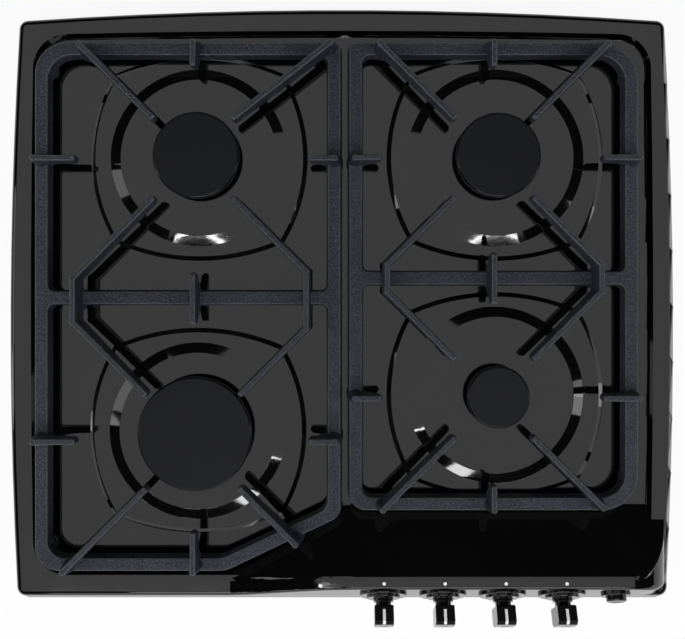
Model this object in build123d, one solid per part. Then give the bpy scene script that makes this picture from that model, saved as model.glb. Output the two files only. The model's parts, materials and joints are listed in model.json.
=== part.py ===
from build123d import *
import math
import os

os.makedirs("parts", exist_ok=True)

# A built-in gas cooktop, in millimetres. +Z is up, +X is to the right of the user, +Y is to the rear.
# The origin is the middle of the whole object's footprint, on the underside of the tray.

# ---------------------------------------------------------------- enamelled top
top_width = 587.0  # across the middle of the bowed sides
top_depth = 523.0  # front edge to the middle of the bowed rear
side_bow = 8.4
rear_bow = 10.0
corner_round = 8.0
sheet = 1.0
edge_roll = 5.0  # radius of the rim's rolled outer edge
tray_depth = 40.0  # how far the tray hangs below the worktop
seal_thickness = 2.0
rim_height = 12.0  # rim above the seal
pan_drop = 7.0  # pan below the rim
rim_side = 13.5  # flat rim at the corners, left and right
rim_rear = 13.1
rim_front = 24.1
pan_side_bow = 2.5
pan_rear_bow = 3.5
pan_corner = 30.0
pan_wall_run = 3.0  # how far the pan's wall leans in
pan_foot_round = 2.5
fit_gap = 0.3  # pieces that lie on each other without being fixed

# ---------------------------------------------------------------- control console
console_rise = 31.0  # crest above the pan
face_angle = 28.8  # front face, from the vertical
console_foot = 86.0  # front edge to where the rise starts
crest_back = 28.8  # front edge to the back of the crest
front_round = 7.0
crest_round = 8.0
foot_round = 12.0
console_length = 240.0  # along which the section is constant
console_side = 21.6  # its right end to the pan's side
left_fade = 131.0  # the crest sinks into the rim along this
left_fade_foot = 27.0  # front edge to the foot and the crest where the console begins
left_fade_back = 20.5
left_fade_rise = 5.0
left_steps = 6
flank_end = 0.5  # rim's outer side to where the right flank is upright
flank_turns = (0.3, 0.55, 0.75, 0.9, 0.96)  # shares of the flank's width
flank_setback = 12.0

# ---------------------------------------------------------------- burner pressings
plateau_half_x = 96.0
plateau_half_y = 91.0
plateau_corner = 75.0
plateau_rise = 2.5
plateau_run = 4.0
dish_radius = 78.3
dish_top_radius = 69.0
dish_rise = 2.6
press_round = 1.2

# ---------------------------------------------------------------- burners
left_x = -126.5
right_x = 135.5
rear_row = 108.0  # rear row to the pan's rear edge
front_left_row = 150.5  # front edge of the top to the burner
front_right_row = 182.2
cap_radius = {"rear_left": 37.4, "rear_right": 36.7, "front_left": 49.4, "front_right": 27.0}
port_pitch = 7.15
cap_top = 22.0  # above the pan
cap_thickness = 5.0
cap_round = 2.0
crown_inset = 3.0
crown_wall = 4.0
port_width = 1.8
port_depth = 4.0
flange_inset = 2.5
flange_height = 2.7
hole_inset = 5.0
cup_wall = 6.6
cup_gap = 0.4
cup_floor = 12.0  # wide part of the cup below the pan
holder_radius = 11.0
holder_bottom = 20.0
holder_floor = 2.0
socket_radius = 5.8
socket_length = 22.0
jet_thread = 4.0
jet_head = 5.5
jet_bore = 0.8
jet_shoulder = 33.0
jet_length = 3.5
venturi_radius = 7.0
venturi_wall = 1.5
venturi_drop = 11.0
electrode_radius = 2.2
electrode_inset = 8.7
electrode_gap = 0.3

# ---------------------------------------------------------------- pan supports
frame_top = 20.0  # above the pan
frame_thickness = 11.0
bar_width = 13.6
frame_draft = 7.0
finger_top = 39.0  # above the pan
finger_ridge = 4.8
finger_base = 8.4
finger_under = 26.0
finger_round = 1.5
finger_nose = 1.0  # half the flat at a finger's tip, seen from above
nose_round = 1.5
knuckle_proud = 0.35
root_radius = 7.2  # round root of a finger on the frame
root_inset = 6.2  # its middle to the frame's outer edge
left_margin = 4.3
right_margin = 14.0
grate_gap = 5.0
rear_margin = 9.0
left_front = 30.5  # front edge of the top to the left support
right_front = 83.0
left_cross = 1.6  # cross bar behind the middle between its burners
right_cross = 0.0
cut_corner = 110.6  # left end of the console's full section to the cut corner's start
cut_slope = 0.4722
frame_corner = 28.0
inner_corner = 7.0
tip_offset = {"rear_left": 32.7, "rear_right": 32.3, "front_left": 38.9, "front_right": 32.4}
support_shift = {"rear_left": 0.2, "rear_right": -6.7, "front_left": 1.2, "front_right": -6.7}
support_back = {"rear_left": -5.0, "rear_right": -4.5, "front_left": -3.8, "front_right": 1.2}
frame_edge = 1.5
short_length = 27.0
side_short = 42.0
inner_short = 29.0
right_short = 37.0
front_short = 40.0
left_link = 39.4  # frame's outer edge to the bends of the long fingers
left_link_inner = 30.4
right_link = 33.3
right_link_outer = 38.0
left_straight = 18.5  # half of a bent finger's straight part
left_straight_inner = 24.2
right_straight = 11.5
right_straight_outer = 11.2
cross_half = 22.0
cut_root = 18.0
foot_radius = 5.0
foot_spread = 0.6
pad_radius = 6.6
pad_gap = 0.2
pad_thickness = 3.0

# ---------------------------------------------------------------- knobs, button and taps
knob_count = 4
knob_pitch = 52.0
button_side = 32.6  # button to the pan's side
button_space = 47.0  # last knob to the button
knob_end = 27.0
grip_start = 11.0
grip_half = 12.5
grip_flat = 8.5
grip_width = 16.4
grip_bevel = 3.0
dimple_radius = 25.0
dimple_depth = 0.5
neck_radius = 6.8
boss_radius = 8.6
boss_length = 6.2
boss_gap = 0.8
bezel_radius = 20.6
bezel_thickness = 2.4
bezel_step_radius = 14.6
bezel_step = 4.2
bezel_round = 1.0
bezel_spigot = 3.0
knob_clearance = 0.5
panel_hole = 10.6
panel_gap = 0.1
knob_travel = 3.5
spindle_radius = 3.0
spindle_flat = 2.2
spindle_gap = 0.05
spindle_rear = -32.0
spindle_front = 18.0
spring_outer = 5.6
spring_inner = 3.5
spring_front = -14.0
collar_length = 1.5
nose_front = -13.0
nose_radius = 7.2
tap_front = -24.0
tap_rear = -56.0
tap_radius = 10.5
plug_front = -25.5
plug_rear = -50.0
plug_big = 7.0
plug_small = 5.5
rail_radius = 8.0
rail_bore = 6.5
rail_behind = -42.0
tube_radius = 4.0
tube_bore = 3.2
tube_bend = 14.0
tube_insert = 5.0
tube_level = 26.0
inlet_stub = 4.0
rail_drop = 8.5  # tap body's side to the middle of the gas rail
rail_overhang = 14.0  # first knob to the rail's closed end
rail_outlet = 44.0  # last knob to the rail's open end
pipe_space = 16.0
pipe_bend = 12.0
pipe_z = 34.0
button_radius = 8.6
button_end = 7.0
button_gap = 0.3
button_travel = 3.0
button_bezel = 12.6
housing_rear = -16.0
switch_rear = -28.0

# ---------------------------------------------------------------- tray, seal and fixings
stud_gap = 0.3
tray_inset = 17.1  # top's corner to the tray's side
tray_front = 20.5  # front edge of the top to the tray
tray_rear = 7.7  # tray to the pan's rear edge
tray_round = 12.0
flange = 12.0
step_size = 62.0
step_height = 12.0
seal_width = 10.0
seal_inset = 0.4
stud_radius = 2.0
stud_length = 9.0
stud_corner = 30.0  # corner of the tray to its first stud
stud_far = 90.0
stud_side = 60.0
stud_front = 150.0
nut_radius = 4.0
nut_height = 3.2
clamp_width = 22.0
clamp_reach = 20.0
clamp_thickness = 2.0
clamp_screw = 2.5
clamp_rise = 18.0
clamp_foot = 3.0
clamp_inset = 70.0
clamp_bolt = 2.0
clamp_bolt_z = 12.0
clamp_tip = 8.2
gland_x = -180.0
gland_z = 22.0
gland_neck = 8.0
gland_bore = 4.5
inlet_radius = 13.0
inlet_thread = 9.3
inlet_depth = 14.0
support_strip = 26.0
support_sheet = 1.5
rail_clear = 30.0
lead_radius = 1.5
lead_top = 34.0
lead_low = 8.0
generator_x = -40.0
generator_y = 250.0  # from the front edge of the top
electrode_angle = {"rear_left": -50.0, "rear_right": -150.0, "front_left": 60.0, "front_right": 160.0}
inlet_angle = {"rear_left": -20.0, "rear_right": -110.0, "front_left": -60.0, "front_right": -90.0}

# ---------------------------------------------------------------- levels and places worked out from them
tan_face = math.tan(math.radians(face_angle))
cos_face = math.cos(math.radians(face_angle))
sin_face = math.sin(math.radians(face_angle))
z_worktop = tray_depth
z_edge = z_worktop + seal_thickness
z_rim = z_edge + rim_height
z_pan = z_rim - pan_drop
z_plateau = z_pan + plateau_rise
z_dish = z_plateau + dish_rise
z_crest = z_pan + console_rise
z_face = (z_edge + z_crest) / 2
face_back = (z_face - z_edge) * tan_face
knob_reach = knob_end * cos_face + grip_flat * sin_face - face_back
y_front = knob_reach - (top_depth + knob_reach) / 2
y_rear = y_front + top_depth
corner_half = top_width / 2 - side_bow
y_rear_corner = y_rear - rear_bow
pan_half = corner_half - rim_side
tray_half = corner_half - tray_inset
console_fade = pan_half - console_side
console_full = console_fade - console_length
button_x = pan_half - button_side
first_knob = button_x - button_space - (knob_count - 1) * knob_pitch
cut_corner_x = console_full - cut_corner
y_pan_front = y_front + rim_front
y_pan_rear = y_rear_corner - rim_rear
y_tray_front = y_front + tray_front
y_tray_rear = y_pan_rear - tray_rear
y_grate_rear = y_pan_rear - rear_margin
grate_left_x = left_margin - pan_half
grate_right_x = pan_half - right_margin
z_flange = z_dish + fit_gap + flange_height
finger_thick_height = finger_top - frame_top + frame_thickness
inlet_x = tray_half - step_size / 2
inlet_y = y_tray_rear - step_size / 2
inlet_low = step_height + fit_gap
burners = {
    "rear_left": (left_x, y_pan_rear - rear_row),
    "rear_right": (right_x, y_pan_rear - rear_row),
    "front_left": (left_x - 1.0, y_front + front_left_row),
    "front_right": (right_x, y_front + front_right_row),
}
knob_places = [first_knob + knob_pitch * number for number in range(knob_count)]
rail_left = knob_places[0] - rail_overhang
rail_right = knob_places[-1] + rail_outlet
pipe_x = rail_right + pipe_space
face_normal = (0, -cos_face, sin_face)


def save(name, shape):
    """Write one piece, or one group of like pieces, to its own file."""
    export_step(shape, f"parts/{name}.step")


def ring(outer, inner, low, high):
    """A tube about the local z axis."""
    height = high - low
    middle = (low + high) / 2
    return Pos(0, 0, middle) * (Cylinder(outer, height) - Cylinder(inner, height))


def rod(radius, low, high):
    return Pos(0, 0, (low + high) / 2) * Cylinder(radius, high - low)


def block(x0, x1, y0, y1, z0, z1):
    return Pos((x0 + x1) / 2, (y0 + y1) / 2, (z0 + z1) / 2) * Box(x1 - x0, y1 - y0, z1 - z0)


def rounded(points, radii):
    """A flat face from corner points, each with its own rounding radius."""
    return make_face(FilletPolyline(*points, radius=radii, close=True))


def bowed(half, front, rear, side, back, radius):
    """A face with a straight front, bowed sides and a bowed rear."""
    middle = (front + rear) / 2
    edges = [
        Line((-half, front), (half, front)),
        ThreePointArc((half, front), (half + side, middle), (half, rear)),
        ThreePointArc((half, rear), (0, rear + back), (-half, rear)),
        ThreePointArc((-half, rear), (-half - side, middle), (-half, front)),
    ]
    face = make_face(Curve() + edges)
    return fillet(face.vertices(), radius)


def on_face(x):
    """The frame of a control: its z axis stands out of the console's front face at x."""
    return Plane(origin=(x, y_front + face_back, z_face), x_dir=(1, 0, 0), z_dir=face_normal)


# ---------------------------------------------------------------- the pressed top
def console_section(x, foot, back, rise, setback, inset):
    """One section of the console, across x: slanted front, rounded crest, rise from the pan."""
    top = rise - inset
    front = inset / cos_face
    lean = (rise + z_pan - z_edge) * tan_face + setback
    back_edge = back - 0.9 * inset
    foot_edge = foot - 1.9 * inset
    run = math.hypot(foot_edge - back_edge, top)
    turn = math.atan2(top, foot_edge - back_edge) / 2
    crest = min(crest_round - inset, 0.3 * run / math.tan(turn))
    foot_r = min(foot_round, 0.5 * run / math.tan(turn))
    lip = max(0.4, min(front_round - inset, 0.4 * (back_edge - lean - front)))
    tail = -0.4 - inset
    points = [
        (y_front + front, z_edge - 3 * inset),
        (y_front + front + lean, z_pan + top),
        (y_front + back_edge, z_pan + top),
        (y_front + foot_edge, z_pan - inset),
        (y_front + foot_edge + 9, z_pan + tail),
        (y_front + foot_edge + 9, z_edge - 3 * inset),
    ]
    radii = [0, lip, crest, foot_r, 0, 0]
    return Plane(origin=(x, 0, 0), x_dir=(0, 1, 0), z_dir=(1, 0, 0)) * rounded(points, radii)


def left_stations():
    """x, foot, crest, rise and setback along the left end, where the console swells out of the rim."""
    stations = []
    for number in range(left_steps + 1):
        share = number / left_steps
        grown = share * share * (3 - 2 * share)
        foot = left_fade_foot + (console_foot - left_fade_foot) * grown
        back = left_fade_back + (crest_back - left_fade_back) * grown
        rise = left_fade_rise + (console_rise - left_fade_rise) * grown
        stations.append((console_full - left_fade * (1 - share), foot, back, rise, 0.0))
    return stations


def right_stations():
    """The right end: the crest falls along a quarter of an ellipse to the rim's outer side."""
    width = corner_half - flank_end - console_fade
    slope = (console_foot - crest_back) / console_rise
    stations = [(console_fade, console_foot, crest_back, console_rise, 0.0)]
    for turn in flank_turns:
        rise = console_rise * math.sqrt(1 - turn * turn)
        back = console_foot - rise * slope
        stations.append((console_fade + width * turn, console_foot, back, rise, flank_setback * turn**4))
    return stations


def console(inset):
    """The raised part that carries the controls, sinking into the rim at both ends."""
    full = (console_foot, crest_back, console_rise, 0.0, inset)
    left = loft([console_section(*station, inset) for station in left_stations()])
    right = loft([console_section(*station, inset) for station in right_stations()])
    middle = extrude(console_section(console_full, *full), amount=console_length)
    return (left + middle + right) & outline_column(inset, z_crest + 1)


def plateau_face(inset):
    hx = plateau_half_x - inset
    hy = plateau_half_y - inset
    c = plateau_corner - inset
    edges = [
        ThreePointArc((-c, -c), (0, -hy), (c, -c)),
        ThreePointArc((c, -c), (hx, 0), (c, c)),
        ThreePointArc((c, c), (0, hy), (-c, c)),
        ThreePointArc((-c, c), (-hx, 0), (-c, -c)),
    ]
    return make_face(Curve() + edges)


def console_wedge(front_low, low, top):
    """What lies in front of the slanted front face."""
    lean_low = (low - z_edge) * tan_face
    lean_top = (top - z_edge) * tan_face
    corners = [
        (front_low - top_depth, low),
        (front_low + lean_low, low),
        (front_low + lean_top, top),
        (front_low - top_depth, top),
    ]
    face = make_face(Polyline(*corners, close=True))
    return extrude(Plane.YZ * face, amount=top_width, both=True)


def is_front_corner(edge):
    middle = edge.center()
    return abs(middle.X) > corner_half - 4 and middle.Y < y_front + 20 and abs(edge.tangent_at(0.5).Z) > 0.5


def is_ring(edge, level, radius):
    on_level = abs(edge.center().Z - level) < 0.01
    return edge.geom_type == GeomType.CIRCLE and on_level and abs(edge.radius - radius) < 0.1


def outline_column(inset, top):
    """Everything inside the top's outline: bowed sides and rear, slanted front, rounded corners."""
    low = z_edge - 3 * inset
    outline = bowed(
        corner_half - inset, y_front - 30, y_rear_corner - inset, side_bow, rear_bow, corner_round - inset
    )
    form = Pos(0, 0, low) * extrude(outline, amount=top - low)
    form -= console_wedge(y_front + inset / cos_face, low - 5, top + 5)
    return fillet([edge for edge in form.edges() if is_front_corner(edge)], corner_round - inset)


def rim_block(inset):
    """The rim as a solid block with its rolled outer edge."""
    form = outline_column(inset, z_rim - inset)
    return fillet(form.faces().sort_by(Axis.Z)[-1].edges(), edge_roll - inset)


def pan_recess(inset):
    """What the pan takes out of the rim block, with leaning walls and a rounded foot."""
    grow = inset * 1.2
    face = bowed(pan_half + grow, y_pan_front - grow, y_pan_rear + grow, pan_side_bow, pan_rear_bow, pan_corner)
    draft = math.degrees(math.atan(pan_wall_run / pan_drop))
    recess = extrude(Pos(0, 0, z_rim) * face, amount=-(pan_drop + inset), taper=draft)
    return fillet(recess.faces().sort_by(Axis.Z)[0].edges(), pan_foot_round + inset)


def top_form(inset):
    """The solid under the skin: inset 0 gives the outside, the sheet's thickness gives the inside."""
    form = rim_block(inset) - pan_recess(inset)
    plateau_draft = math.degrees(math.atan(plateau_run / plateau_rise))
    for x, y in burners.values():
        plateau = Pos(x, y, z_pan - inset) * plateau_face(inset)
        form += extrude(plateau, amount=plateau_rise, taper=plateau_draft)
        dish = Cone(dish_radius - inset, dish_top_radius - inset, dish_rise)
        form += Pos(x, y, z_plateau - inset + dish_rise / 2) * dish
    if not inset:
        rings = [edge for edge in form.edges() if is_ring(edge, z_dish, dish_top_radius)]
        rings += [edge for edge in form.edges() if is_ring(edge, z_plateau, dish_radius)]
        form = fillet(rings, press_round)
    return form + console(inset)


def stud_places():
    """Weld studs under the pan, over the tray's flange."""
    side = tray_half - flange / 2
    front = y_tray_front + 0.7 * flange
    rear = y_tray_rear - flange / 2
    middle = (front + rear) / 2
    left = [(-side, y) for y in (front + stud_corner, middle, rear - stud_corner)]
    right = [(side, y) for y in (front + stud_far, middle, rear - stud_far)]
    return left + right + [(-stud_side, rear), (stud_side, rear), (-stud_front, front)]


def hob_top():
    """The pressed and enamelled top, with its burner and control holes and the studs under it."""
    shell = top_form(0) - top_form(sheet)
    for name, (x, y) in burners.items():
        shell -= Pos(x, y, 0) * rod(cap_radius[name] - hole_inset, z_pan - 5, z_dish + 5)
    for x in knob_places:
        shell -= on_face(x).location * rod(panel_hole, -8, 8)
    shell -= on_face(button_x).location * rod(panel_hole, -8, 8)
    for x, y in stud_places():
        shell += Pos(x, y, 0) * rod(stud_radius, z_pan - sheet - stud_length, z_pan - sheet / 2)
    return shell


# ---------------------------------------------------------------- tray, seal and fixings
def tray_block(inset, top):
    face = rounded(
        [
            (-tray_half + inset, y_tray_front + inset),
            (tray_half - inset, y_tray_front + inset),
            (tray_half - inset, y_tray_rear - inset),
            (-tray_half + inset, y_tray_rear - inset),
        ],
        [tray_round - inset] * 4,
    )
    solid = Pos(0, 0, inset) * extrude(face, amount=top - inset)
    x0 = tray_half - step_size - inset
    y0 = y_tray_rear - step_size - inset
    return solid - block(x0, tray_half + 5, y0, y_tray_rear + 5, -5, step_height + inset)


def underbox():
    """The sheet tray under the top, with a raised corner over the gas inlet."""
    top = z_pan - sheet
    tray = tray_block(0, top) - tray_block(sheet, top - sheet)
    opening = [
        (-tray_half + flange, y_tray_front + flange),
        (tray_half - flange, y_tray_front + flange),
        (tray_half - flange, y_tray_rear - flange),
        (-tray_half + flange, y_tray_rear - flange),
    ]
    tray -= Pos(0, 0, top - 2 * sheet) * extrude(rounded(opening, [tray_round / 2] * 4), amount=3 * sheet)
    console_x = console_full - 6
    tray -= block(console_x, tray_half - flange, y_tray_front - 1, y_tray_front + flange + 1, z_worktop, top + 1)
    for x, y in stud_places():
        tray -= Pos(x, y, 0) * rod(stud_radius + stud_gap, top - 2, top + 1)
    tray -= Pos(inlet_x, inlet_y, 0) * rod(inlet_radius + 1, step_height - 2, step_height + 4)
    tray -= Pos(gland_x, y_tray_rear, gland_z) * Rot(90, 0, 0) * rod(gland_neck + 0.1, -5, 5)
    for x, y, _ in clamp_places():
        tray -= Pos(x, y, clamp_bolt_z) * Rot(0, 90, 0) * rod(clamp_bolt + 0.1, -5, 5)
    return tray


def worktop_seal():
    """Foam strip between the rim's edge and the worktop."""

    def outline(inset):
        return bowed(corner_half - inset, y_front + inset, y_rear_corner - inset, side_bow, rear_bow, corner_round)

    outer = extrude(outline(seal_inset), amount=seal_thickness)
    inner = extrude(outline(seal_inset + seal_width), amount=seal_thickness)
    return Pos(0, 0, z_worktop) * (outer - inner)


def clamp_places():
    """Worktop clamps on the tray's sides: x of the wall, y, and the way the clamp reaches."""
    front = y_tray_front + clamp_inset
    rear = y_tray_rear - clamp_inset
    return [(side * tray_half, y, side) for side in (-1, 1) for y in (front, rear)]


def clamps():
    """Angle brackets on the tray's sides, each with its clamping screw's threaded hole."""
    group = []
    for x, y, side in clamp_places():
        out = Pos(x, y, 0) * (Rot(0, 0, 0) if side > 0 else Rot(0, 0, 180))
        upright = block(0, clamp_thickness, -clamp_width / 2, clamp_width / 2, clamp_foot, clamp_rise)
        foot = block(0, clamp_reach, -clamp_width / 2, clamp_width / 2, clamp_foot, clamp_foot + clamp_thickness)
        angle = upright + foot
        angle -= Pos(clamp_reach / 2 + 2, 0, 0) * rod(clamp_screw + 0.05, 0, clamp_rise)
        angle -= Pos(0, 0, clamp_bolt_z) * Rot(0, 90, 0) * rod(clamp_bolt + 0.1, -5, 5)
        group.append(out * angle)
    return Compound(children=group)


def clamp_screws():
    """Clamping screws that press up on the worktop, and the bolts that hold each bracket."""
    group = []
    for x, y, side in clamp_places():
        out = Pos(x, y, 0) * (Rot(0, 0, 0) if side > 0 else Rot(0, 0, 180))
        shank = rod(clamp_screw, 1.0, clamp_tip)
        head = rod(clamp_screw + 2, 0.2, 2.2) + rod(clamp_screw + 1.5, clamp_tip, clamp_tip + 1.5)
        group.append(out * Pos(clamp_reach / 2 + 2, 0, 0) * (shank + head))
        bolt = rod(clamp_bolt, -4, clamp_thickness) + rod(clamp_bolt + 1.6, clamp_thickness, clamp_thickness + 2)
        group.append(out * Pos(0, 0, clamp_bolt_z) * Rot(0, 90, 0) * bolt)
    return Compound(children=group)


def nuts():
    """Hexagon nuts on the weld studs, under the tray's flange."""
    nut = extrude(RegularPolygon(nut_radius, 6), amount=nut_height) - rod(stud_radius + 0.05, -1, nut_height + 1)
    level = z_pan - 2 * sheet - nut_height
    return Compound(children=[Pos(x, y, level) * nut for x, y in stud_places()])


def cable_gland():
    """Bush in the tray's rear wall for the mains lead, and the clamp ring inside."""
    bush = ring(gland_neck, gland_bore, -3, sheet + 1.5) + ring(gland_neck + 2.5, gland_bore, sheet, sheet + 2.5)
    bush += ring(gland_neck + 2, gland_bore, -5, -3)
    return Pos(gland_x, y_tray_rear - sheet, gland_z) * Rot(-90, 0, 0) * bush


def terminal_block():
    """Three-way mains terminal on the tray's floor."""
    body = block(-18, 18, -11, 11, 0, 16)
    for x in (-11, 0, 11):
        body -= Pos(x, 0, 8) * Rot(90, 0, 0) * rod(2.2, -20, 20)
        body -= Pos(x, 5, 0) * rod(2.0, 8, 20)
    return Pos(gland_x, y_tray_rear - 40, sheet) * body


# ---------------------------------------------------------------- pan supports
def rib(start, end, profile, pointed=True):
    """A cast rib between two plan points: its side view, cut from a bar with a narrow rounded ridge."""
    run = math.hypot(end[0] - start[0], end[1] - start[1])
    turn = math.degrees(math.atan2(end[1] - start[1], end[0] - start[0]))
    side = Plane.XZ * make_face(Polyline(*profile(run), close=True))
    low = z_pan + frame_top - frame_thickness
    top = z_pan + finger_top
    corners = [
        (-finger_base / 2, low - 1),
        (finger_base / 2, low - 1),
        (finger_ridge / 2, top),
        (-finger_ridge / 2, top),
    ]
    section = Plane.YZ * rounded(corners, [0, 0, finger_round, finger_round])
    bar = Pos(-20, 0, 0) * extrude(section, amount=run + 60)
    wide = finger_base
    nose = [(-20, -wide), (run - wide, -wide), (run, -finger_nose), (run, finger_nose), (run - wide, wide), (-20, wide)]
    plan = Pos(0, 0, low - 2) * extrude(rounded(nose, [0, 0, nose_round, nose_round, 0, 0]), amount=top - low + 4)
    shape = bar & extrude(side, amount=finger_base, both=True)
    if pointed:
        shape = shape & plan
    return Pos(start[0], start[1], 0) * Rot(0, 0, turn) * shape


def finger_side(run):
    """Side view of a finger from the middle of its root to its tip."""
    low = z_pan + frame_top - frame_thickness + 0.5
    frame = z_pan + frame_top
    top = z_pan + finger_top
    under = z_pan + finger_under
    return [
        (0, low),
        (0, top),
        (run - 3, top),
        (run - 0.9, top - 0.8),
        (run, top - 3),
        (run, under + 2),
        (run - 2, under),
        (max(16, run - 25), under - 2),
        (11, frame - 1),
        (6, low),
    ]


def link_side(run):
    """Side view of the straight part of a bent finger, over the cross bar."""
    low = z_pan + frame_top - frame_thickness + 0.5
    top = z_pan + finger_top
    middle = run / 2
    root = z_pan + frame_top - 3
    left = [(middle - 7, low), (middle - 9, root), (0, root + 2), (0, top)]
    return left + [(run, top), (run, root + 2), (middle + 9, root), (middle + 7, low)]


def arm_side(run):
    """Side view of a bent finger's slanted arm, from the bend to the tip."""
    top = z_pan + finger_top
    under = z_pan + finger_under
    root = z_pan + frame_top - 1
    end = [(run - 3, top), (run - 0.9, top - 0.8), (run, top - 3), (run, under + 2), (run - 2, under)]
    return [(-0.01, root), (-0.01, top)] + end + [(run - 30, under - 2)]


def knuckle(x, y):
    """The rounded bend between two ribs, a little proud of their sides."""
    low = z_pan + frame_top - 1.5
    share = (z_pan + finger_top - low) / (finger_thick_height + 1)
    return peg(x, y, low, finger_ridge / 2 + knuckle_proud + (finger_base - finger_ridge) / 2 * share)


def peg(x, y, low, low_radius):
    """A drafted round boss as high as the fingers, with a rounded top edge."""
    top = z_pan + finger_top + 0.1
    cone = Cone(low_radius, finger_ridge / 2 + knuckle_proud, top - low)
    cone = fillet(cone.edges().sort_by(Axis.Z)[-1], finger_round)
    return Pos(x, y, (low + top) / 2) * cone


def rooted(start, end):
    """A finger with the wide round root from which it rises."""
    turn = math.degrees(math.atan2(start[1] - end[1], start[0] - end[0]))
    root = peg(0, 0, z_pan + frame_top - frame_thickness + 1, root_radius)
    return rib(start, end, finger_side) + Pos(start[0], start[1], 0) * Rot(0, 0, turn) * root


def frame(outline, radii, windows):
    """The flat cast frame: a drafted plate with its windows."""
    low = z_pan + frame_top - frame_thickness
    plate = extrude(Pos(0, 0, low) * rounded(outline, radii), amount=frame_thickness, taper=frame_draft)
    for corners, corner_radii in windows:
        window = Pos(0, 0, low) * rounded(corners, corner_radii)
        plate -= extrude(window, amount=frame_thickness, taper=-frame_draft)
    return fillet(plate.faces().sort_by(Axis.Z)[-1].edges(), frame_edge)


def support_centre(name):
    x, y = burners[name]
    return x + support_shift[name], y + support_back[name]


def tip(name, side_x, side_y):
    x, y = support_centre(name)
    return x + side_x * tip_offset[name], y + side_y * tip_offset[name]


def middle_row(rear, front):
    """Half way between a support's two burners, where the bent fingers are straight."""
    return (support_centre(rear)[1] + support_centre(front)[1]) / 2


def finger(name, side_x, side_y, level_y):
    """A 45 degree finger from the level y to the tip beside a burner."""
    x, y = support_centre(name)
    start = (x + side_x * abs(level_y - y), level_y)
    return rooted(start, tip(name, side_x, side_y))


def bent_finger(rear, front, side, link_x, straight):
    """A finger pair joined over the cross bar: tip, bend, straight part, bend, tip."""
    middle = middle_row(rear, front)
    upper = (link_x, middle + straight)
    lower = (link_x, middle - straight)
    shape = rib(upper, tip(rear, side, -1), arm_side)
    shape += rib(lower, tip(front, side, 1), arm_side)
    shape += rib(upper, lower, link_side, False)
    return shape + knuckle(*upper) + knuckle(*lower)


def legs(places):
    """Cast feet under a frame, down to their rubber pads."""
    low = z_pan + fit_gap + pad_thickness - 1
    top = z_pan + frame_top - frame_thickness + 1
    shape = Part()
    for x, y in places:
        shape += Pos(x, y, (low + top) / 2) * Cone(foot_radius, foot_radius + foot_spread, top - low)
    return shape


def pads(places):
    """Rubber pads pressed round the ends of a support's feet."""
    low = z_pan + fit_gap
    socket = rod(foot_radius + pad_gap, low + pad_thickness - 1, low + 20)
    pad = rod(pad_radius, low, low + pad_thickness + 1) - socket
    return Compound(children=[Pos(x, y, 0) * pad for x, y in places])


def short(edge, toward, length):
    """A short finger square to the frame: from its outer edge, along a unit direction."""
    start = (edge[0] + toward[0] * root_inset, edge[1] + toward[1] * root_inset)
    end = (edge[0] + toward[0] * length, edge[1] + toward[1] * length)
    return rooted(start, end)


def shorts(rear, front, x0, x1, y0, y1, lengths):
    """The six short fingers of a support: rear, left and right of both burners, front."""
    rear_x, rear_y = support_centre(rear)
    front_y = support_centre(front)[1]
    left, right, rear_length, front_length = lengths
    shape = short((rear_x, y1), (0, -1), rear_length) + short((rear_x, y0), (0, 1), front_length)
    for y in (rear_y, front_y):
        shape += short((x0, y), (1, 0), left)
        shape += short((x1, y), (-1, 0), right)
    return shape


def support_left():
    """The left pan support, with its cut front corner beside the console."""
    x0 = grate_left_x
    x1 = 0.0
    y0 = y_front + left_front
    y1 = y_grate_rear
    w = bar_width
    cut = y0 + cut_slope * (x1 - cut_corner_x)
    cross = middle_row("rear_left", "front_left") + left_cross
    cross0 = cross - w / 2
    cross1 = cross + w / 2
    cut_in = w * (math.sqrt(1 + cut_slope * cut_slope) - 1) / cut_slope
    side_cut = cut + w * (math.sqrt(1 + cut_slope * cut_slope) - cut_slope)
    outline = [(x0, y0), (cut_corner_x, y0), (x1, cut), (x1, y1), (x0, y1)]
    rear_window = [(x0 + w, cross1), (x1 - w, cross1), (x1 - w, y1 - w), (x0 + w, y1 - w)]
    front_window = [(x0 + w, y0 + w), (cut_corner_x - cut_in, y0 + w), (x1 - w, side_cut)]
    front_window += [(x1 - w, cross0), (x0 + w, cross0)]
    windows = [(rear_window, [5, 5, 6, 20]), (front_window, [14, 20, 12, 5, 5])]
    shape = frame(outline, [frame_corner - 6, 30, 14, inner_corner, frame_corner], windows)
    shape += finger("rear_left", -1, 1, y1 - root_inset - 2)
    shape += finger("front_left", -1, -1, y0 + root_inset)
    shape += rooted((x1 - 10, y1 - root_inset), tip("rear_left", 1, 1))
    front_x, front_y = support_centre("front_left")
    reach = cut_root + abs(cut - front_y)
    shape += rooted((front_x + reach, front_y - reach), tip("front_left", 1, -1))
    shape += bent_finger("rear_left", "front_left", -1, x0 + left_link, left_straight)
    shape += bent_finger("rear_left", "front_left", 1, x1 - left_link_inner, left_straight_inner)
    lengths = (side_short, inner_short, short_length, front_short)
    shape += shorts("rear_left", "front_left", x0, x1, y0, y1, lengths)
    shape += cross_finger(support_centre("rear_left")[0], cross)
    return shape + legs(left_feet())


def cross_finger(x, y):
    """The short double finger that crosses the cross bar."""

    def side(run):
        low = z_pan + frame_top - frame_thickness + 0.5
        top = z_pan + finger_top
        middle = run / 2
        front = [(middle - 6, low), (middle - 8, low + 8), (0, top - 8), (0, top - 3), (2.5, top)]
        return front + [(run - 2.5, top), (run, top - 3), (run, top - 8), (middle + 8, low + 8), (middle + 6, low)]

    return rib((x, y - cross_half), (x, y + cross_half), side)


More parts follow.
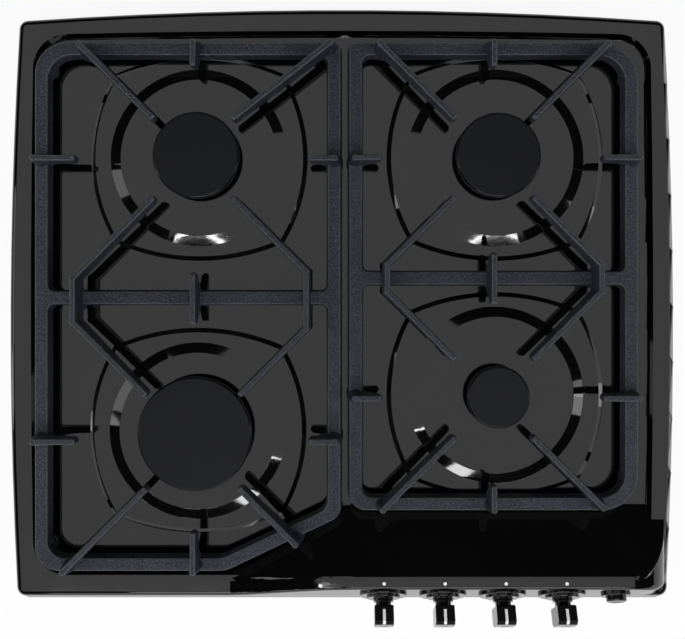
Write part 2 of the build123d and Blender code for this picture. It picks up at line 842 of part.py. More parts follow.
def support_right():
    """The right pan support, behind the console."""
    x0 = grate_gap
    x1 = grate_right_x
    y0 = y_front + right_front
    y1 = y_grate_rear
    w = bar_width
    cross = middle_row("rear_right", "front_right") + right_cross
    cross0 = cross - w / 2
    cross1 = cross + w / 2
    outline = [(x0, y0), (x1, y0), (x1, y1), (x0, y1)]
    rear_window = [(x0 + w, cross1), (x1 - w, cross1), (x1 - w, y1 - w), (x0 + w, y1 - w)]
    front_window = [(x0 + w, y0 + w), (x1 - w, y0 + w), (x1 - w, cross0), (x0 + w, cross0)]
    windows = [(rear_window, [5, 5, 22, 6]), (front_window, [8, 20, 5, 5])]
    shape = frame(outline, [16, frame_corner + 4, frame_corner + 6, inner_corner], windows)
    for side in (-1, 1):
        shape += finger("rear_right", side, 1, y1 - root_inset - 1)
        shape += finger("front_right", side, -1, y0 + root_inset + 1 + side)
    shape += bent_finger("rear_right", "front_right", -1, x0 + right_link, right_straight)
    shape += bent_finger("rear_right", "front_right", 1, x1 - right_link_outer, right_straight_outer)
    lengths = (inner_short, right_short, short_length, short_length)
    shape += shorts("rear_right", "front_right", x0, x1, y0, y1, lengths)
    shape += cross_finger(support_centre("rear_right")[0], cross)
    return shape + legs(right_feet())


def left_feet():
    inset = bar_width / 2
    y0 = y_front + left_front
    return [
        (grate_left_x + inset + 3, y0 + 22),
        (-inset, y0 - cut_slope * cut_corner_x + 18),
        (-inset - 2, y_grate_rear - inset - 2),
        (grate_left_x + inset + 3, y_grate_rear - 22),
    ]


def right_feet():
    inset = bar_width / 2
    y0 = y_front + right_front
    return [
        (grate_gap + inset, y0 + 16),
        (grate_right_x - inset, y0 + 28),
        (grate_right_x - inset, y_grate_rear - 30),
        (grate_gap + inset + 2, y_grate_rear - inset - 2),
    ]


# ---------------------------------------------------------------- burners
def turned(points):
    """A solid of revolution about z from its half section, given as radius and height."""
    face = Plane.XZ * make_face(Polyline(*points, close=True))
    return revolve(face, Axis.Z)


def electrode_place(name):
    angle = math.radians(electrode_angle[name])
    radius = cap_radius[name] - electrode_inset
    return radius * math.cos(angle), radius * math.sin(angle)


def burner_cup(name):
    """Cast burner base: flange on the pressing, cup in the hole, injector holder and gas socket."""
    cap = cap_radius[name]
    outer = cap - hole_inset - cup_gap
    inner = outer - cup_wall
    seat = z_dish + fit_gap
    shelf = z_pan - cup_floor
    cup = turned([
        (0, holder_bottom),
        (holder_radius, holder_bottom),
        (holder_radius, shelf - 2),
        (outer, shelf),
        (outer, seat),
        (cap - flange_inset, seat),
        (cap - flange_inset, z_flange),
        (inner, z_flange),
        (inner, shelf + 3),
        (0, shelf + 3),
    ])
    side = Rot(0, 0, inlet_angle[name]) * Pos(0, 0, tube_level) * Rot(0, 90, 0)
    cup += side * rod(socket_radius, 5, socket_length)
    cup -= rod(jet_head + 1.5, jet_shoulder, shelf + 4) + rod(jet_thread, holder_bottom + holder_floor, jet_shoulder)
    cup -= side * rod(tube_bore, 0, socket_length)
    cup -= side * rod(tube_radius + spindle_gap, socket_length - tube_insert, socket_length + 1)
    x, y = electrode_place(name)
    cup -= Pos(x, y, 0) * rod(electrode_radius + electrode_gap / 3, shelf - 5, z_flange + 1)
    return Pos(*burners[name], 0) * cup


def injector(name):
    """Brass injector screwed into the cup's holder."""
    jet = turned([
        (jet_bore, jet_shoulder - jet_length),
        (jet_thread - spindle_gap, jet_shoulder - jet_length),
        (jet_thread - spindle_gap, jet_shoulder),
        (jet_head, jet_shoulder),
        (jet_head, jet_shoulder + 3),
        (jet_thread - 1, jet_shoulder + 5),
        (jet_bore, jet_shoulder + 5),
    ])
    return Pos(*burners[name], 0) * jet


def burner_crown(name):
    """Flame crown that lifts off the cup: ported wall, web and venturi throat."""
    cap = cap_radius[name]
    outer = cap - crown_inset
    inner = outer - crown_wall
    base = z_flange + 0.1
    top = z_pan + cap_top - cap_thickness - 0.1
    crown = turned([
        (venturi_radius, base - venturi_drop),
        (venturi_radius + venturi_wall, base - venturi_drop),
        (venturi_radius + venturi_wall, base),
        (outer, base),
        (outer, top),
        (inner, top),
        (inner, base + 1.6),
        (venturi_radius + venturi_wall, base + 1.6),
        (venturi_radius + 0.6, base + 3.4),
        (venturi_radius, base + 3.4),
    ])
    slot = block(inner - 1, outer + 1, -port_width / 2, port_width / 2, top - port_depth, top + 1)
    ports = round(2 * math.pi * outer / port_pitch)
    crown -= [Rot(0, 0, 360 / ports * number) * slot for number in range(ports)]
    x, y = electrode_place(name)
    crown -= Pos(x, y, 0) * rod(electrode_radius + electrode_gap + 0.5, base - 1, top + 1)
    return Pos(*burners[name], 0) * crown


def burner_cap(name):
    """Enamelled cap with a rounded edge and a locating ring inside the crown."""
    cap = cap_radius[name]
    inner = cap - crown_inset - crown_wall
    top = z_pan + cap_top
    low = top - cap_thickness
    disc = Pos(0, 0, (low + top) / 2) * Cylinder(cap, cap_thickness)
    disc = fillet(disc.edges().sort_by(Axis.Z)[-1], cap_round)
    disc += ring(inner - 0.4, inner - 2.4, low - 1.5, low + 1)
    return Pos(*burners[name], 0) * disc


def electrodes():
    """Ceramic spark electrodes, one in the side of each cup."""
    group = []
    for name, (x, y) in burners.items():
        dx, dy = electrode_place(name)
        pin = rod(electrode_radius, z_pan - cup_floor - 8, z_flange + 2) + rod(0.8, z_flange + 1, z_flange + 4.5)
        pin += rod(electrode_radius + 1.2, z_pan - cup_floor - 4.2, z_pan - cup_floor - 1.5)
        group.append(Pos(x + dx, y + dy, 0) * pin)
    return Compound(children=group)


def burner_rails():
    """Two strips on the tray's floor that hold the burner cups up against the top."""
    group = []
    top = holder_bottom - 0.1
    under = top - support_sheet
    for side in ("left", "right"):
        x = burners["rear_" + side][0]
        x0 = x - support_strip / 2
        x1 = x + support_strip / 2
        y0 = burners["front_" + side][1] - rail_clear
        y1 = burners["rear_" + side][1] + rail_clear
        strip = block(x0, x1, y0, y1, under, top)
        strip += block(x0, x1, y0, y0 + support_sheet, sheet, top)
        strip += block(x0, x1, y1 - support_sheet, y1, sheet, top)
        strip += block(x0, x1, y0 - 12, y0 + support_sheet, sheet, sheet + support_sheet)
        strip += block(x0, x1, y1 - support_sheet, y1 + 12, sheet, sheet + support_sheet)
        group.append(strip)
    return Compound(children=group)


# ---------------------------------------------------------------- taps, knobs and button
def tapered(big, small, low, high):
    """A cone about z, big at its high end."""
    return turned([(0, low), (small, low), (big, high), (0, high)])


def shaft(radius, flat, low, high):
    """A round shaft with one flat."""
    return rod(radius, low, high) - block(-radius - 1, radius + 1, flat, radius + 1, low - 1, high + 1)


def tap_body():
    """Brass tap: nose round the spring, body with a tapered bore, stub into the gas rail."""
    body = rod(tap_radius, tap_rear, tap_front) + rod(nose_radius, tap_front, nose_front)
    body = fillet(body.edges().filter_by(GeomType.CIRCLE).sort_by(Axis.Z)[-1], 0.8)
    body += Pos(0, 0, rail_behind) * Rot(90, 0, 0) * rod(inlet_stub, 0, tap_radius + rail_drop - rail_bore + 1)
    body -= rod(spring_outer + 0.4, tap_front - 1, nose_front + 1)
    body -= tapered(plug_big + spindle_gap, plug_small + spindle_gap, plug_rear, plug_front)
    body -= rod(plug_big + spindle_gap, plug_front, tap_front)
    body -= rod(tube_radius + spindle_gap, tap_rear - 1, tap_rear + tube_insert)
    return body


def tap_plug():
    """Tapered plug that the spindle turns."""
    plug = tapered(plug_big, plug_small, plug_rear, plug_front)
    return plug - shaft(spindle_radius + spindle_gap, spindle_flat + spindle_gap, spindle_rear - knob_travel - 1, 0)


def spindle():
    """Flatted spindle, free to slide in the plug, with the collar that the spring pushes."""
    body = shaft(spindle_radius, spindle_flat, spindle_rear, spindle_front)
    return body + rod(spring_outer, spring_front, spring_front + collar_length)


def tap_spring():
    return ring(spring_outer, spring_inner, plug_front + 0.3, spring_front)


def knob():
    """Moulded knob: boss, neck, bar grip with a slanted end and a finger dimple."""
    grip = [
        (grip_start, -grip_half + 1),
        (grip_start, grip_half - 1),
        (grip_start + 1.2, grip_half),
        (knob_end - grip_bevel, grip_half),
        (knob_end - 0.3, grip_flat),
        (knob_end, 0),
        (knob_end - 0.3, -grip_flat),
        (knob_end - grip_bevel, -grip_half),
        (grip_start + 1.2, -grip_half),
    ]
    side = Plane(origin=(0, 0, 0), x_dir=(0, 0, 1), z_dir=(1, 0, 0)) * make_face(
        Polyline(*[(along, -across) for along, across in grip], close=True)
    )
    body = extrude(side, amount=grip_width / 2, both=True)
    body = fillet(body.edges().filter_by(Axis.Y), 1.2)
    body -= Pos(0, 0, knob_end + dimple_radius - dimple_depth) * Sphere(dimple_radius)
    body += rod(neck_radius, boss_gap + boss_length, grip_start + 1)
    body += rod(boss_radius, boss_gap, boss_gap + boss_length)
    return body - shaft(spindle_radius + spindle_gap, spindle_flat + spindle_gap, boss_gap - 1, spindle_front + 0.5)


def outer_rounded(disc):
    """Round the outer top edge of a disc or ring."""
    return fillet(disc.edges().filter_by(GeomType.CIRCLE).group_by(Axis.Z)[-1].sort_by(SortBy.RADIUS)[-1], bezel_round)


def knob_bezel():
    """Two-step bezel on the face, with its spigot in the panel hole."""
    inner = boss_radius + knob_clearance
    disc = outer_rounded(ring(bezel_radius, inner, 0, bezel_thickness))
    disc += outer_rounded(ring(bezel_step_radius, inner, 0, bezel_step))
    return disc + ring(panel_hole - panel_gap, inner, -bezel_spigot, 0.1)


def button_bezel_piece():
    """Button bezel and guide tube."""
    inner = button_radius + button_gap
    disc = outer_rounded(ring(button_bezel, inner, 0, bezel_thickness))
    return disc + ring(panel_hole - panel_gap, inner, housing_rear, 0.1)


def button():
    cap = rod(button_radius, -4, button_end)
    cap = fillet(cap.edges().sort_by(Axis.Z)[-1], 1.5)
    return cap - Pos(0, 0, button_end + 29.2) * Sphere(30) + rod(2.0, -8, -3)


def switch_body():
    body = rod(panel_hole - panel_gap, switch_rear, housing_rear) - rod(2.3, housing_rear - 5, housing_rear + 1)
    return body + block(-4, 4, -1, 1, switch_rear - 4, switch_rear)


def controls(shape, places):
    return Compound(children=[on_face(x).location * shape for x in places])


# ---------------------------------------------------------------- gas and ignition lines
def bent_path(points, radius):
    """Straight runs joined by arcs of one radius."""
    edges = []
    here = points[0]
    for before, corner, after in zip(points, points[1:], points[2:]):
        into = (corner - before).normalized()
        out = (after - corner).normalized()
        half_turn = math.radians(into.get_angle(out)) / 2
        reach = radius * math.tan(half_turn)
        inward = (out - into).normalized()
        middle = corner + inward * (radius / math.cos(half_turn) - radius)
        edges.append(Line(here, corner - into * reach))
        edges.append(ThreePointArc(corner - into * reach, middle, corner + out * reach))
        here = corner + out * reach
    edges.append(Line(here, points[-1]))
    return Wire(edges)


def tube(points, outer, inner, bend):
    """A bent tube."""
    path = bent_path(points, bend)
    start = Plane(origin=path @ 0, z_dir=path % 0)
    return sweep(start * (Circle(outer) - Circle(inner)), path=path)


def tap_outlet(x):
    """Where a tap's tube leaves it, and where it has come down to the tubes' level."""
    start = on_face(x).from_local_coords(Vector(0, 0, tap_rear + tube_insert - 0.5))
    drop = start.Z - tube_level
    return start, Vector(x, start.Y + drop * cos_face / sin_face, tube_level)


def socket_mouth(name, at):
    x, y = burners[name]
    angle = math.radians(inlet_angle[name])
    return Vector(x + at * math.cos(angle), y + at * math.sin(angle), tube_level)


def gas_tubes():
    """One tube from each tap to its burner cup."""
    group = []
    for number, (name, waypoints) in enumerate(tube_routes):
        start, down = tap_outlet(knob_places[number])
        end = socket_mouth(name, socket_length - tube_insert + 0.5)
        before = socket_mouth(name, socket_length + 26)
        middle = [Vector(x, y_front + y, tube_level) for x, y in waypoints]
        points = [start, down] + middle + [before, end]
        group.append(tube(points, tube_radius, tube_bore, tube_bend))
    return Compound(children=group)


def gas_rail():
    """Gas rail across the console, with one hole for each tap's stub."""
    spot = on_face(0).from_local_coords(Vector(0, -(tap_radius + rail_drop), rail_behind))
    length = rail_right - rail_left
    pipe = Pos((rail_left + rail_right) / 2, spot.Y, spot.Z) * Rot(0, 90, 0) * Cylinder(rail_radius, length)
    bore = Pos((rail_left + rail_right) / 2 + 4, spot.Y, spot.Z) * Rot(0, 90, 0) * Cylinder(rail_bore, length)
    pipe -= bore
    for x in knob_places:
        hole = Pos(0, 0, rail_behind) * Rot(90, 0, 0) * rod(inlet_stub + 0.05, 0, tap_radius + rail_drop)
        pipe -= on_face(x).location * hole
    return pipe, spot


def supply_pipe(spot):
    """Pipe from the rail's right end to the inlet elbow at the rear."""
    points = [
        Vector(rail_right - 6, spot.Y, spot.Z),
        Vector(pipe_x, spot.Y, spot.Z),
        Vector(pipe_x, spot.Y + 60, pipe_z),
        Vector(pipe_x, inlet_y - 70, pipe_z),
        Vector(inlet_x, inlet_y - 40, pipe_z),
        Vector(inlet_x, inlet_y - inlet_radius + 5, pipe_z),
    ]
    return tube(points, rail_bore - 0.05, rail_bore - 1.5, pipe_bend)


def inlet_elbow():
    """Brass elbow over the tray's raised corner, its threaded socket pointing down."""
    body = rod(inlet_radius, inlet_low, pipe_z + 9)
    body += Pos(0, 0, pipe_z) * Rot(90, 0, 0) * rod(9, 0, inlet_radius + 2)
    body -= rod(inlet_thread, inlet_low - 1, inlet_low + inlet_depth)
    body -= rod(5, inlet_low, pipe_z)
    body -= Pos(0, 0, pipe_z) * Rot(90, 0, 0) * rod(rail_bore, 4, 30)
    return Pos(inlet_x, inlet_y, 0) * body


def spark_generator():
    """Spark generator on the tray's floor, with its four outlets on top."""
    body = block(-32, 32, -20, 20, 0, 22)
    body = fillet(body.edges().filter_by(Axis.Z), 3)
    for number in range(4):
        body += Pos(-21 + 14 * number, 0, 0) * ring(3.4, lead_radius + 0.05, 21, 27)
        body -= Pos(-21 + 14 * number, 0, 0) * rod(lead_radius + 0.05, 16, 28)
    return Pos(generator_x, y_front + generator_y, sheet) * body


def leads():
    """High voltage leads from the generator to the electrodes."""
    group = []
    for number, (name, waypoints) in enumerate(lead_routes):
        x, y = burners[name]
        dx, dy = electrode_place(name)
        out_x = generator_x - 21 + 14 * number
        out_y = y_front + generator_y
        points = [Vector(out_x, out_y, sheet + 18), Vector(out_x, out_y, lead_top)]
        points += [Vector(a, y_front + b, c) for a, b, c in waypoints]
        points += [Vector(x + dx, y + dy, lead_low), Vector(x + dx, y + dy, z_pan - cup_floor - 8.05)]
        path = Polyline(*points)
        start = Plane(origin=path @ 0, z_dir=path % 0)
        group.append(sweep(start * Circle(lead_radius), path=path, transition=Transition.RIGHT))
    return Compound(children=group)


# each tap's tube: the burner it feeds and the plan points it passes, y from the front edge of the top
tube_routes = [
    ("front_left", [(knob_places[0], 84), (0, 100), (-80, 104)]),
    ("rear_left", [(knob_places[1], 86), (8, 160), (8, 300)]),
    ("rear_right", [(knob_places[2], 86), (76, 130), (72, 300)]),
    ("front_right", []),
]
# each lead: the electrode it serves and the points it passes, y from the front edge of the top, z
lead_routes = [
    ("rear_left", [(-61, 281, lead_top), (-61, 281, lead_low)]),
    ("front_left", [(-47, 219, lead_top), (-47, 219, lead_low)]),
    ("front_right", [(-33, 219, lead_top), (-33, 219, lead_low)]),
    ("rear_right", [(-19, 281, lead_top), (-19, 281, lead_low)]),
]

save("hob_top", hob_top())
save("underbox", underbox())
save("worktop_seal", worktop_seal())
save("worktop_clamps", clamps())
save("clamp_screws", clamp_screws())
save("case_nuts", nuts())
save("cable_gland", cable_gland())
save("terminal_block", terminal_block())
save("grate_left", support_left())
save("grate_right", support_right())
save("grate_left_feet", pads(left_feet()))
save("grate_right_feet", pads(right_feet()))
for name in burners:
    save("burner_cup_" + name, burner_cup(name))
    save("burner_head_" + name, burner_crown(name))
    save("burner_cap_" + name, burner_cap(name))
save("injectors", Compound(children=[injector(name) for name in burners]))
save("spark_electrodes", electrodes())
save("burner_rails", burner_rails())
for number, x in enumerate(knob_places, start=1):
    for name, piece in (
        ("tap_body", tap_body()),
        ("tap_plug", tap_plug()),
        ("tap_spindle", spindle()),
        ("tap_spring", tap_spring()),
        ("knob", knob()),
    ):
        save(f"{name}_{number}", controls(piece, [x]))
save("knob_bezels", controls(knob_bezel(), knob_places))
save("button_bezel", controls(button_bezel_piece(), [button_x]))
save("ignition_button", controls(button(), [button_x]))
save("button_spring", controls(ring(button_radius - 3, button_radius - 5, housing_rear, -4), [button_x]))
save("ignition_switch", controls(switch_body(), [button_x]))
save("gas_tubes", gas_tubes())
rail, rail_spot = gas_rail()
save("gas_rail", rail)
save("supply_pipe", supply_pipe(rail_spot))
save("inlet_elbow", inlet_elbow())
save("spark_generator", spark_generator())
save("ignition_leads", leads())
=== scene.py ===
import bpy
import json
import math
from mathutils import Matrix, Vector


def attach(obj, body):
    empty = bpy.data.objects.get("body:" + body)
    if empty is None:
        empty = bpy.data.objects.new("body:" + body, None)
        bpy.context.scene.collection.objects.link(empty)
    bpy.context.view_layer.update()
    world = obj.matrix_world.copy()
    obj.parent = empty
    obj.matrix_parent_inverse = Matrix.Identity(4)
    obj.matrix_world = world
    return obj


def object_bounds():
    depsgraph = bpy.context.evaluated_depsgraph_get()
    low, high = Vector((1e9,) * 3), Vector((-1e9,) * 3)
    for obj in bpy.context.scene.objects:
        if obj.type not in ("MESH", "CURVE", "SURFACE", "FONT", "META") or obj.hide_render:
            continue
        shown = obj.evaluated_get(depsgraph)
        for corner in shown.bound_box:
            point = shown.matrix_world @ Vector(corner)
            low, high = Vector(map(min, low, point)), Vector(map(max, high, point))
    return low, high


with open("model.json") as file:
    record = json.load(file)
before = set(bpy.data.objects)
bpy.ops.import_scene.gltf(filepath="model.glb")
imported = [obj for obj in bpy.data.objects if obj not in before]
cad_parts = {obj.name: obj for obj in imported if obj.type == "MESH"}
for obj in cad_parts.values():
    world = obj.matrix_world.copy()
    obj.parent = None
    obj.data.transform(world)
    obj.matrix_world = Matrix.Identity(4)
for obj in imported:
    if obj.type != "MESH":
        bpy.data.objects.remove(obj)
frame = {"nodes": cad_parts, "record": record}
cad_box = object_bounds()

# ---------------------------------------------------------------- sizes and places, in metres
mm = 0.001
lowest = Vector(cad_box[0])
front_edge = lowest.y + 17.63 * mm  # the knobs reach in front of the top's front edge
crest_level = 78 * mm
knob_x = [x * mm for x in (36, 88, 140, 192)]
face_middle = Vector((0, -242.675, 60)) * mm  # middle of the slanted front face
face_out = Vector((0, -0.876307, 0.481754))
face_up = Vector((0, 0.481754, 0.876307))

dot_back = 24.6 * mm  # front edge to the printed dots
dot_radius = 1.55 * mm
dot_sides = 40
dot_peak = 0.16 * mm
dot_rings = ((0.6, 0.15), (0.88, 0.11), (1.0, -0.05))  # share of the radius, height in mm

line_path = ((14.6, 12.5), (23.97, 12.5), (26.3, 9.05))  # out of the face and up along it, in mm
line_half = 1.2 * mm
ink_height = 0.12
ink_depth = 1.5  # thickness of the line's ink, in ink heights

stage_color = (0.86, 0.86, 0.86, 1)
floor_side = 16
floor_gap = 0.5 * mm  # the floor lies just under the object
wall_radius = 6
wall_height = 1.4
wall_middle = 0.69
wall_sides = 96
floor_glow = 0.9
wall_glow = 0.95

# ---------------------------------------------------------------- camera, straight above the cooktop
camera_height = 0.807
camera_back = 0.0269  # the point below the lens, behind the object's middle
lens = 44.93
sensor_width = 36
image_width = 685
rise_in_frame = 34.5  # pixels by which that point lies above the picture's middle
left_in_frame = 0.5  # pixels by which it lies left of the picture's middle


def camera():
    data = bpy.data.cameras.new("camera")
    data.lens = lens
    data.sensor_width = sensor_width
    data.shift_y = -rise_in_frame / image_width
    data.shift_x = left_in_frame / image_width
    data.clip_start = 0.01
    data.clip_end = 50
    eye = bpy.data.objects.new("camera", data)
    eye.location = (0, camera_back, camera_height)
    bpy.context.collection.objects.link(eye)
    bpy.context.scene.camera = eye


# ---------------------------------------------------------------- material helpers
class Shader:
    """A material's node tree, with short calls for the nodes that these materials share."""

    def __init__(self, name):
        self.material = bpy.data.materials.new(name)
        self.material.use_nodes = True
        self.tree = self.material.node_tree
        self.tree.nodes.clear()
        self.out = self.tree.nodes.new("ShaderNodeOutputMaterial")
        self.surface = self.tree.nodes.new("ShaderNodeBsdfPrincipled")
        self.tree.links.new(self.surface.outputs[0], self.out.inputs["Surface"])
        self.coords = self.tree.nodes.new("ShaderNodeTexCoord").outputs["Object"]

    def set(self, **values):
        for key, value in values.items():
            self.surface.inputs[key.replace("_", " ")].default_value = value
        return self

    def link(self, source, target):
        self.tree.links.new(source, target)

    def to(self, source, key):
        self.link(source, self.surface.inputs[key])

    def noise(self, scale, detail, rough=0.55):
        node = self.tree.nodes.new("ShaderNodeTexNoise")
        node.inputs["Scale"].default_value = scale
        node.inputs["Detail"].default_value = detail
        node.inputs["Roughness"].default_value = rough
        self.link(self.coords, node.inputs["Vector"])
        return node.outputs["Fac"]

    def ramp(self, source, low, high, first, last):
        """Maps a value between low and high to a value or a colour between first and last."""
        if isinstance(first, tuple):
            node = self.tree.nodes.new("ShaderNodeValToRGB")
            node.color_ramp.elements[0].position = low
            node.color_ramp.elements[1].position = high
            node.color_ramp.elements[0].color = (*first, 1)
            node.color_ramp.elements[1].color = (*last, 1)
            self.link(source, node.inputs["Fac"])
            return node.outputs["Color"]
        node = self.tree.nodes.new("ShaderNodeMapRange")
        node.inputs["From Min"].default_value = low
        node.inputs["From Max"].default_value = high
        node.inputs["To Min"].default_value = first
        node.inputs["To Max"].default_value = last
        self.link(source, node.inputs["Value"])
        return node.outputs["Result"]

    def spread(self, noise, first, last):
        """Maps the usual span of a noise to a value or a colour between first and last."""
        return self.ramp(noise, 0.3, 0.7, first, last)

    def mix(self, share, first, last):
        """Mixes two colours, of which each is a tuple or a node's output."""
        node = self.tree.nodes.new("ShaderNodeMix")
        node.data_type = "RGBA"
        self.link(share, node.inputs["Factor"])
        for key, value in ((6, first), (7, last)):
            if isinstance(value, tuple):
                node.inputs[key].default_value = (*value, 1)
            else:
                self.link(value, node.inputs[key])
        return node.outputs[2]

    def bump(self, source, strength, distance):
        node = self.tree.nodes.new("ShaderNodeBump")
        node.inputs["Strength"].default_value = strength
        node.inputs["Distance"].default_value = distance
        self.link(source, node.inputs["Height"])
        return node.outputs["Normal"]

    def upward(self):
        """How far the surface faces up, from -1 to 1."""
        geometry = self.tree.nodes.new("ShaderNodeNewGeometry")
        split = self.tree.nodes.new("ShaderNodeSeparateXYZ")
        self.link(geometry.outputs["Normal"], split.inputs[0])
        return split.outputs["Z"]


def black_enamel():
    """Vitreous enamel: deep black glass with a faint orange peel."""
    s = Shader("black_enamel").set(IOR=1.52)
    cloud = s.noise(9, 3)
    s.to(s.spread(cloud, (0.0010, 0.0010, 0.0011), (0.0022, 0.0022, 0.0023)), "Base Color")
    s.to(s.spread(s.noise(40, 5), 0.03, 0.06), "Roughness")
    s.to(s.bump(s.noise(150, 2), 0.035, 0.0004), "Normal")
    return s.material


def cap_enamel():
    """Matt enamel of the burner caps, smoother round their edge."""
    s = Shader("cap_enamel").set(IOR=1.31)
    fine = s.noise(900, 6, 0.7)
    s.to(s.spread(fine, (0.0015, 0.0018, 0.003), (0.004, 0.0046, 0.007)), "Base Color")
    s.to(s.ramp(s.upward(), 0.9, 0.995, 0.1, 0.55), "Roughness")
    s.to(s.bump(fine, 0.25, 0.0002), "Normal")
    return s.material


def cast_iron():
    """Sandy cast iron under matt enamel, with a painted highlight: lighter colour along its rounded
    upper edges.
    """
    s = Shader("cast_iron_enamel").set(IOR=1.46)
    sand = s.noise(640, 5, 0.8)
    broad = s.noise(35, 4)
    up = s.upward()
    grains = s.ramp(sand, 0.46, 0.6, (0.001, 0.0013, 0.0032), (0.06, 0.067, 0.1))
    toned = s.mix(s.ramp(broad, 0.35, 0.7, 0.0, 0.25), grains, (0.006, 0.007, 0.012))
    # painted highlight: surfaces that face partly up, the rounded upper edges, get a lighter colour;
    # sides and flat tops keep the plain tone
    painted_edge_highlight = s.mix(s.ramp(up, 0.4, 0.65, 0.0, 0.6), toned, (0.085, 0.09, 0.105))
    s.to(s.mix(s.ramp(up, 0.9, 0.985, 0.0, 1.0), painted_edge_highlight, toned), "Base Color")
    s.to(s.spread(sand, 0.24, 0.42), "Roughness")
    s.to(s.bump(sand, 1.0, 0.001), "Normal")
    return s.material


def metal(name, color, rough, scale=300):
    s = Shader(name).set(Metallic=1.0)
    grain = s.noise(scale, 6, 0.6)
    shade = tuple(c * 0.8 for c in color)
    s.to(s.spread(grain, shade, color), "Base Color")
    s.to(s.spread(grain, rough * 0.8, rough * 1.2), "Roughness")
    s.to(s.bump(grain, 0.1, 0.0002), "Normal")
    return s.material


def plastic(name, color, rough, scale=700):
    s = Shader(name).set(IOR=1.5)
    grain = s.noise(scale, 5, 0.6)
    shade = tuple(c * 0.75 for c in color)
    s.to(s.spread(grain, shade, color), "Base Color")
    s.to(s.spread(grain, rough * 0.85, rough * 1.15), "Roughness")
    s.to(s.bump(grain, 0.08, 0.0001), "Normal")
    return s.material


def materials():
    return {
        "black_enamel": black_enamel(),
        "cap_enamel": cap_enamel(),
        "cast_iron_enamel": cast_iron(),
        "galvanised": metal("galvanised", (0.62, 0.63, 0.64), 0.38, 60),
        "foam": plastic("foam", (0.04, 0.04, 0.042), 0.9, 900),
        "rubber": plastic("rubber", (0.025, 0.025, 0.026), 0.75),
        "steel": metal("steel", (0.6, 0.6, 0.61), 0.3),
        "brass": metal("brass", (0.72, 0.5, 0.22), 0.28),
        "aluminium": metal("aluminium", (0.62, 0.63, 0.64), 0.42),
        "knob_plastic": plastic("knob_plastic", (0.006, 0.006, 0.0065), 0.1),
        "dark_plastic": plastic("dark_plastic", (0.05, 0.05, 0.055), 0.5),
        "ceramic": plastic("ceramic", (0.8, 0.78, 0.74), 0.25),
        "lead_sleeve": plastic("lead_sleeve", (0.4, 0.06, 0.04), 0.5),
    }


def dress(finishes):
    """Every CAD node gets the material of its slot."""
    slots = {part["node"]: part["material_slot"] for part in frame["record"]["subparts"]}
    for node, obj in frame["nodes"].items():
        for place in obj.material_slots:
            place.material = finishes[slots[node]]


# ---------------------------------------------------------------- printed marks
def print_white():
    s = Shader("print_white").set(Roughness=0.35)
    s.to(s.spread(s.noise(1200, 3), (0.72, 0.72, 0.72), (0.85, 0.85, 0.85)), "Base Color")
    return s.material


def mesh_piece(name, points, faces, material, body):
    mesh = bpy.data.meshes.new(name)
    mesh.from_pydata(points, [], faces)
    mesh.update()
    mesh.materials.append(material)
    piece = bpy.data.objects.new(name, mesh)
    bpy.context.collection.objects.link(piece)
    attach(piece, body)
    return piece


def dot(name, middle, material):
    """A printed dot: a shallow dome of ink on a level surface."""
    points = [middle + Vector((0, 0, dot_peak))]
    faces = []
    for share, height in dot_rings:
        for number in range(dot_sides):
            turn = 2 * math.pi * number / dot_sides
            flat = Vector((math.cos(turn), math.sin(turn), 0)) * dot_radius * share
            points.append(middle + flat + Vector((0, 0, height * mm)))
    for number in range(dot_sides):
        after = (number + 1) % dot_sides
        faces.append((0, 1 + number, 1 + after))
        for level in range(len(dot_rings) - 1):
            inner = 1 + level * dot_sides
            outer = inner + dot_sides
            faces.append((inner + number, outer + number, outer + after, inner + after))
    piece = mesh_piece(name, points, faces, material, "cooktop")
    for polygon in piece.data.polygons:
        polygon.use_smooth = True


def pointer(name, x, material, body):
    """A knob's printed line: along the grip's upper side and down its slanted end."""
    sections = []
    for number, (out, up) in enumerate(line_path):
        before = line_path[max(number - 1, 0)]
        after = line_path[min(number + 1, len(line_path) - 1)]
        along = Vector((after[0] - before[0], after[1] - before[1])).normalized()
        lift = Vector((-along.y, along.x)) * ink_height
        spot = Vector((out, up)) + lift
        top = face_middle + face_out * spot.x * mm + face_up * spot.y * mm
        base = top - (face_out * lift.x + face_up * lift.y) * mm * ink_depth
        left = Vector((x - line_half, 0, 0))
        right = Vector((x + line_half, 0, 0))
        sections.append([top + left, top + right, base + right, base + left])
    points = [point for section in sections for point in section]
    corners = len(sections[0])
    faces = []
    for number in range(len(sections) - 1):
        a = corners * number
        b = a + corners
        faces += [(a, a + 1, b + 1, b), (a + 1, a + 2, b + 2, b + 1), (a + 3, a, b, b + 3)]
    last = corners * (len(sections) - 1)
    faces += [(3, 2, 1, 0), (last, last + 1, last + 2, last + 3)]
    mesh_piece(name, points, faces, material, body)


def printed_marks():
    """White dot behind each knob on the console's crest, white line on each knob."""
    ink = print_white()
    for number, x in enumerate(knob_x, start=1):
        dot(f"mark_dot_{number}", Vector((x, front_edge + dot_back, crest_level)), ink)
        pointer(f"mark_line_{number}", x, ink, f"knob_body_{number}")


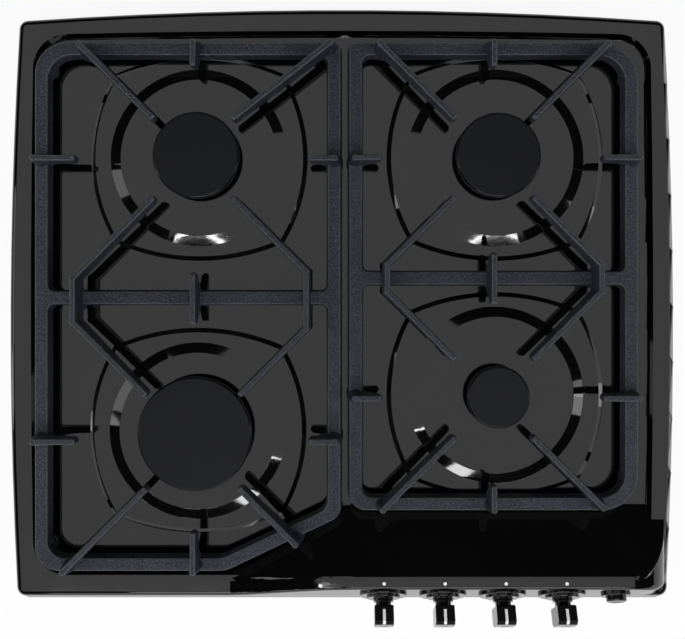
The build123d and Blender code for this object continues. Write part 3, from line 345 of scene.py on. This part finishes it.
# ---------------------------------------------------------------- stage and lights
def stage_material(name, glow_share):
    """Pale matt stage that glows white to the camera and in reflections, and takes a shadow."""
    s = Shader(name).set(Roughness=0.9, Base_Color=stage_color)
    path = s.tree.nodes.new("ShaderNodeLightPath")
    seen = path.outputs["Is Camera Ray"]
    for kind in ("Is Glossy Ray", "Is Transmission Ray"):
        either = s.tree.nodes.new("ShaderNodeMath")
        either.operation = "MAXIMUM"
        s.link(seen, either.inputs[0])
        s.link(path.outputs[kind], either.inputs[1])
        seen = either.outputs[0]
    glow = s.tree.nodes.new("ShaderNodeEmission")
    blend = s.tree.nodes.new("ShaderNodeMixShader")
    s.link(s.ramp(seen, 0.0, 1.0, 0.0, glow_share), blend.inputs["Fac"])
    s.link(s.surface.outputs[0], blend.inputs[1])
    s.link(glow.outputs[0], blend.inputs[2])
    s.link(blend.outputs[0], s.out.inputs["Surface"])
    return s.material


def floor():
    """Floor and round backdrop."""
    bpy.ops.mesh.primitive_plane_add(size=floor_side, location=(0, 0, lowest.z - floor_gap))
    ground = bpy.context.object
    ground.name = "floor"
    ground.data.materials.append(stage_material("floor", floor_glow))
    bpy.ops.mesh.primitive_cylinder_add(
        vertices=wall_sides,
        radius=wall_radius,
        depth=wall_height,
        end_fill_type="NOTHING",
        location=(0, 0, wall_middle),
    )
    wall = bpy.context.object
    wall.name = "backdrop"
    wall.data.materials.append(stage_material("backdrop", wall_glow))


def panel(name, size, at, radiance, aim=(0, 0, 0), glossy=True):
    """An area lamp given by how bright its face looks, with or without a reflection of its own."""
    data = bpy.data.lights.new(name, "AREA")
    data.shape = "RECTANGLE"
    data.size, data.size_y = size
    data.energy = radiance * math.pi * size[0] * size[1]
    lamp = bpy.data.objects.new(name, data)
    lamp.location = at
    lamp.rotation_euler = (Vector(aim) - Vector(at)).to_track_quat("-Z", "Y").to_euler()
    lamp.visible_glossy = glossy
    bpy.context.collection.objects.link(lamp)


def lights():
    """A softbox overhead, low strips and windows that the enamel reflects, and two plain fills."""
    world = bpy.data.worlds.new("world")
    world.use_nodes = True
    background = world.node_tree.nodes["Background"]
    background.inputs["Color"].default_value = (0.02, 0.02, 0.021, 1)
    background.inputs["Strength"].default_value = 1.0
    bpy.context.scene.world = world
    panel("softbox", (2.5, 2.24), (0, -0.03, 2.45), 0.95, aim=(0, -0.03, 0))
    panel("edge_front", (2.2, 0.026), (0, -1.147, 2.4), 34.0)
    panel("strip_front", (1.8, 0.3), (0, -2.0, 0.95), 3.5)
    panel("strip_middle", (1.5, 0.14), (0.1, -1.44, 1.6), 16.0)
    panel("strip_left", (0.25, 1.4), (-2.1, -0.3, 1.0), 3.5)
    panel("strip_right", (0.3, 1.4), (2.1, -0.3, 1.0), 2.5)
    panel("window_left", (0.5, 0.9), (-1.75, 0.1, 1.5), 2.2)
    panel("window_right", (0.4, 0.5), (1.8, -0.45, 1.5), 3.5)
    panel("fill_left", (1.2, 1.2), (-2.0, -0.8, 1.6), 4.5, glossy=False)
    panel("fill_right", (1.2, 1.2), (2.0, -0.8, 1.6), 4.5, glossy=False)


camera()
dress(materials())
printed_marks()
floor()
lights()
bpy.context.scene.view_settings.view_transform = "Standard"
